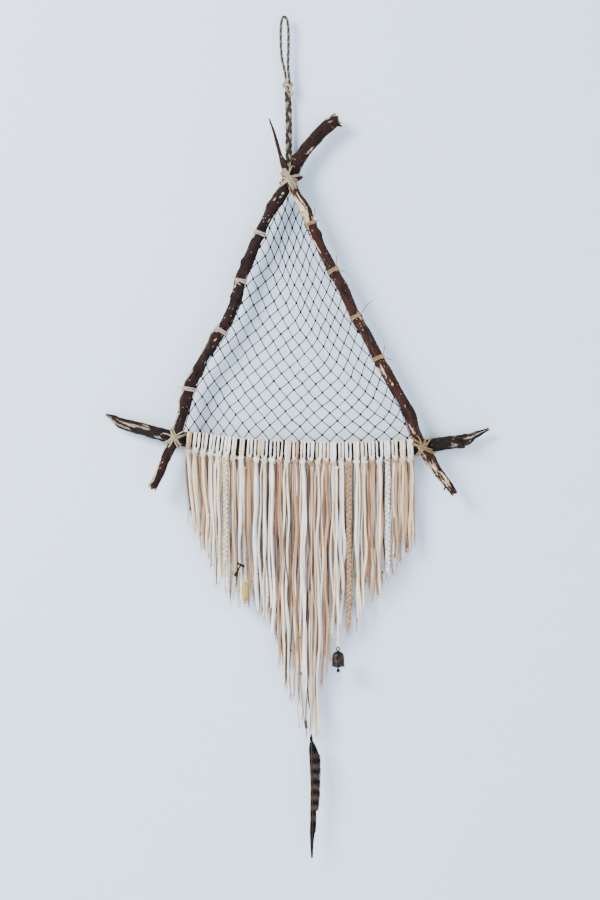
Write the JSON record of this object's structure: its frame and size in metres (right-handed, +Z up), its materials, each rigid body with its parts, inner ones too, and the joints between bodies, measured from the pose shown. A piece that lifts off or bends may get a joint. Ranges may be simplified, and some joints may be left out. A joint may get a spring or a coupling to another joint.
{
  "type": "tapestry wall hanging",
  "caption": "Triangle of lashed driftwood sticks holding a knotted net, hung by a braided loop, with a pointed fringe of cloth tassels, a bell, glass bead, charm and feather.",
  "frame": {"origin": "inside top of the hanging loop, where a nail carries it", "axes": "+Z up, +Y into the wall along the nail, +X to the right as seen from the room"},
  "size_m": [0.4605, 0.0367, 1.0105],
  "materials": {
    "left_bark": "dark rough bark with pale specks",
    "right_bark": "dark bark, peeled to pale wood near its ends",
    "base_bark": "mottled grey-brown bark with bare ends",
    "jute_twine": "twisted natural twine",
    "net_thread": "dark knotted thread",
    "cotton_strip": "torn cotton strips, white to tan",
    "grey_thread": "thin thread",
    "brown_thread": "thin thread",
    "bronze": "dark aged bronze",
    "iron": "dark cast metal",
    "silver": "thin bright wire",
    "amber_glass": "clear yellow glass",
    "black_ceramic": "glazed black",
    "quill": "keratin quill",
    "feather_barbs": "barred feather barbs"
  },
  "bodies": {
    "hanger": {"hanging_loop": "jute_twine"},
    "frame": {"loop_knot": "jute_twine", "hanger_braid": "jute_twine", "left_stick": "left_bark", "right_stick": "right_bark", "base_stick": "base_bark", "apex_lashing": "jute_twine", "left_corner_lashing": "jute_twine", "right_corner_lashing": "jute_twine", "left_ties": "jute_twine", "right_ties": "jute_twine", "net": "net_thread", "net_border": "net_thread", "tassel_loops": "cotton_strip"},
    "fringe_1": {"tassel_01": "cotton_strip", "tassel_02": "cotton_strip", "tassel_03": "cotton_strip", "tassel_04": "cotton_strip", "tassel_05": "cotton_strip", "tassel_06": "cotton_strip"},
    "fringe_2": {"tassel_07": "cotton_strip", "tassel_08": "cotton_strip", "tassel_09": "cotton_strip", "tassel_10": "cotton_strip", "tassel_11": "cotton_strip", "tassel_12": "cotton_strip", "charm_cord": "grey_thread"},
    "fringe_3": {"tassel_13": "cotton_strip", "tassel_14": "cotton_strip", "tassel_15": "cotton_strip", "tassel_16": "cotton_strip", "tassel_17": "cotton_strip", "tassel_18": "cotton_strip", "feather_cord": "cotton_strip", "tube_bead_cord": "brown_thread", "tube_bead": "black_ceramic"},
    "fringe_4": {"tassel_19": "cotton_strip", "tassel_20": "cotton_strip", "tassel_21": "cotton_strip", "tassel_22": "cotton_strip", "tassel_23": "cotton_strip", "tassel_24": "cotton_strip", "bell_cord": "cotton_strip"},
    "fringe_5": {"tassel_25": "cotton_strip", "tassel_26": "cotton_strip", "tassel_27": "cotton_strip", "tassel_28": "cotton_strip", "tassel_29": "cotton_strip", "tassel_30": "cotton_strip"},
    "charm": {"charm_ring": "silver", "charm": "iron"},
    "bead": {"bead_cord": "grey_thread", "glass_bead": "amber_glass"},
    "feather": {"feather_shaft": "quill", "feather_binding": "net_thread", "feather_vane": "feather_barbs"},
    "bell": {"bell_loop": "bronze", "bell_shell": "bronze"},
    "clapper": {"bell_clapper": "iron"}
  },
  "joints": [
    {"name": "frame_sway", "type": "hinge", "parent": "hanger", "child": "frame", "pos_m": [0.004, 0, -0.0818], "axis": [0, -1, 0], "range_deg": [-12, 12]},
    {"name": "fringe_1_swing", "type": "hinge", "parent": "frame", "child": "fringe_1", "pos_m": [-0.09314, -0.00513, -0.52346], "axis": [-0.9898, 0, 0.1428], "range_deg": [0, 33]},
    {"name": "fringe_2_swing", "type": "hinge", "parent": "frame", "child": "fringe_2", "pos_m": [-0.03807, -0.00513, -0.52982], "axis": [-0.9973, 0, 0.0732], "range_deg": [0, 33]},
    {"name": "fringe_3_swing", "type": "hinge", "parent": "frame", "child": "fringe_3", "pos_m": [0.01715, -0.00513, -0.53271], "axis": [-0.9996, 0, 0.0287], "range_deg": [0, 33]},
    {"name": "fringe_4_swing", "type": "hinge", "parent": "frame", "child": "fringe_4", "pos_m": [0.07245, -0.00513, -0.53357], "axis": [-0.9999, 0, -0.0159], "range_deg": [0, 33]},
    {"name": "fringe_5_swing", "type": "hinge", "parent": "frame", "child": "fringe_5", "pos_m": [0.12787, -0.00513, -0.53143], "axis": [-0.9987, 0, -0.0507], "range_deg": [0, 33]},
    {"name": "charm_swing", "type": "hinge", "parent": "fringe_2", "child": "charm", "pos_m": [-0.0504, -0.0128, -0.65], "axis": [0, -1, 0], "range_deg": [-20, 15]},
    {"name": "bead_swing", "type": "hinge", "parent": "fringe_2", "child": "bead", "pos_m": [-0.047, -0.0136, -0.664], "axis": [0, -1, 0], "range_deg": [-20, 35]},
    {"name": "feather_swing", "type": "hinge", "parent": "fringe_3", "child": "feather", "pos_m": [0.032, -0.0105, -0.8575], "axis": [0, -1, 0], "range_deg": [-25, 25]},
    {"name": "bell_swing", "type": "hinge", "parent": "fringe_4", "child": "bell", "pos_m": [0.064, -0.018, -0.7529], "axis": [0, -1, 0], "range_deg": [-25, 25]},
    {"name": "clapper_swing", "type": "hinge", "parent": "bell", "child": "clapper", "pos_m": [0.064, -0.018, -0.7588], "axis": [0, -1, 0], "range_deg": [-12, 12]}
  ]
}
